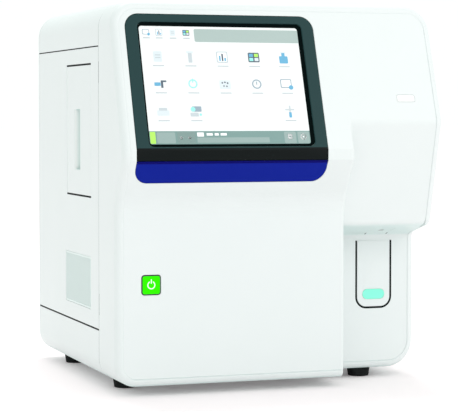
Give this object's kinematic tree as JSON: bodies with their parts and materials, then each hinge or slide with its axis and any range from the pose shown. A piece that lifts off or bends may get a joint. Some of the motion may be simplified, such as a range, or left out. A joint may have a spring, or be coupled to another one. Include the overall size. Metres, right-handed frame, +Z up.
{
  "type": "hematology analyzer",
  "caption": "Benchtop blood cell analyzer with tilted touch screen, sampling needle, start paddle, hinged front cover and reagent door.",
  "frame": {"origin": "on the bench, under the middle of the casing's width and depth", "axes": "+Z up, +Y from the front to the rear, +X to the right seen from the front"},
  "size_m": [0.45, 0.46, 0.51],
  "materials": {
    "white_casing": "fine-textured white moulding",
    "status_window": "white diffusing window",
    "vent_grey": "pale grey-green moulding",
    "bezel": "dark grey-green, satin",
    "blue_trim": "deep blue, satin",
    "screen": "lit touch screen under a clear front",
    "button_green": "translucent green cap",
    "mark_teal": "teal inlay",
    "rubber_black": "black rubber",
    "black_plastic": "black moulding",
    "sheet_steel": "zinc-plated sheet",
    "pin_steel": "ground stainless steel",
    "module_shell": "thin cast or folded housing",
    "clear_grey_plastic": "natural grey engineering plastic",
    "dye_blue": "blue reagent cartridge",
    "board_green": "glass-fibre circuit board"
  },
  "bodies": {
    "casing": {"base_tub": "white_casing", "top_cover": "white_casing", "left_side_panel": "white_casing", "right_side_panel": "white_casing", "rear_panel": "white_casing", "foot_front_left": "rubber_black", "foot_front_right": "rubber_black", "foot_rear_left": "rubber_black", "foot_rear_right": "rubber_black", "left_vent_grille": "vent_grey", "cover_hinge_lower": "sheet_steel", "cover_hinge_upper": "sheet_steel", "door_hinge": "sheet_steel", "reagent_bay": "vent_grey", "dye_cartridge_front": "dye_blue", "dye_cartridge_rear": "dye_blue", "bulkhead": "sheet_steel", "chassis_pan": "sheet_steel", "lift_frame": "sheet_steel", "lift_motor": "black_plastic", "lift_belt": "rubber_black", "needle_washer": "clear_grey_plastic", "sampling_valve_stator": "clear_grey_plastic", "reaction_chambers": "clear_grey_plastic", "optical_detector": "module_shell", "syringe_barrel": "clear_grey_plastic", "valve_manifold": "clear_grey_plastic", "waste_chamber": "clear_grey_plastic", "power_supply": "module_shell", "main_board": "board_green", "air_pump": "black_plastic", "fan_frame": "black_plastic", "mains_inlet": "black_plastic", "port_bay": "vent_grey"},
    "front_cover": {"front_cover": "white_casing", "display_bezel": "bezel", "trim_strip": "blue_trim", "display_screen": "screen", "display_module": "module_shell", "status_window": "status_window", "power_switch_housing": "black_plastic", "paddle_pivot_rod": "pin_steel", "start_switch_bracket": "sheet_steel", "start_microswitch": "black_plastic", "cover_hinge_pin_lower": "pin_steel", "cover_hinge_pin_upper": "pin_steel"},
    "power_button": {"power_button": "button_green"},
    "start_paddle": {"start_paddle": "white_casing", "start_mark": "mark_teal"},
    "side_door": {"side_door": "white_casing", "door_hinge_pin": "pin_steel"},
    "pipette_carriage": {"pipette_carriage": "clear_grey_plastic", "sample_needle": "pin_steel"},
    "drive_pulley": {"drive_pulley": "clear_grey_plastic"},
    "idler_pulley": {"idler_pulley": "clear_grey_plastic"},
    "sampling_valve_rotor": {"sampling_valve_rotor": "clear_grey_plastic"},
    "syringe_plunger": {"syringe_plunger": "pin_steel"},
    "fan_rotor": {"fan_rotor": "black_plastic"},
    "rocker_switch": {"rocker_switch": "black_plastic"}
  },
  "joints": [
    {"name": "front_cover_swing", "type": "hinge", "parent": "casing", "child": "front_cover", "pos_m": [-0.223, -0.11525, 0.255], "axis": [0, 0, -1], "range_deg": [0, 90]},
    {"name": "side_door_swing", "type": "hinge", "parent": "casing", "child": "side_door", "pos_m": [-0.223, 0.0538, 0.34175], "axis": [0, 0, -1], "range_deg": [0, 100]},
    {"name": "power_button_press", "type": "slide", "parent": "front_cover", "child": "power_button", "axis": [0, 1, 0], "range_m": [0, 0.002], "stiffness_N_per_m": 600},
    {"name": "start_paddle_press", "type": "hinge", "parent": "front_cover", "child": "start_paddle", "pos_m": [0.164, -0.116, 0.18495], "axis": [1, 0, 0], "range_deg": [0, 2.5], "stiffness_Nm_per_rad": 4},
    {"name": "pipette_lift", "type": "slide", "parent": "casing", "child": "pipette_carriage", "axis": [0, 0, -1], "range_m": [0, 0.065]},
    {"name": "drive_pulley_spin", "type": "hinge", "parent": "casing", "child": "drive_pulley", "pos_m": [0.164, -0.068, 0.3731], "axis": [0, 1, 0], "range_deg": [0, 450]},
    {"name": "idler_pulley_spin", "type": "hinge", "parent": "casing", "child": "idler_pulley", "pos_m": [0.164, -0.068, 0.236], "axis": [0, 1, 0], "range_deg": [0, 450]},
    {"name": "sampling_valve_turn", "type": "hinge", "parent": "casing", "child": "sampling_valve_rotor", "pos_m": [0.06, 0.0004, 0.3], "axis": [0, 1, 0], "range_deg": [0, 60]},
    {"name": "syringe_stroke", "type": "slide", "parent": "casing", "child": "syringe_plunger", "axis": [0, 0, -1], "range_m": [0, 0.03]},
    {"name": "fan_spin", "type": "hinge", "parent": "casing", "child": "fan_rotor", "pos_m": [0.125, 0.2142, 0.33], "axis": [0, 1, 0], "continuous": true},
    {"name": "mains_rocker", "type": "hinge", "parent": "casing", "child": "rocker_switch", "pos_m": [-0.121, 0.224, 0.1455], "axis": [1, 0, 0], "range_deg": [-16, 0]}
  ],
  "couplings": [
    {"joint": "drive_pulley_spin", "follows": "pipette_lift", "rad_per_m": 112.36},
    {"joint": "idler_pulley_spin", "follows": "pipette_lift", "rad_per_m": 112.36}
  ]
}
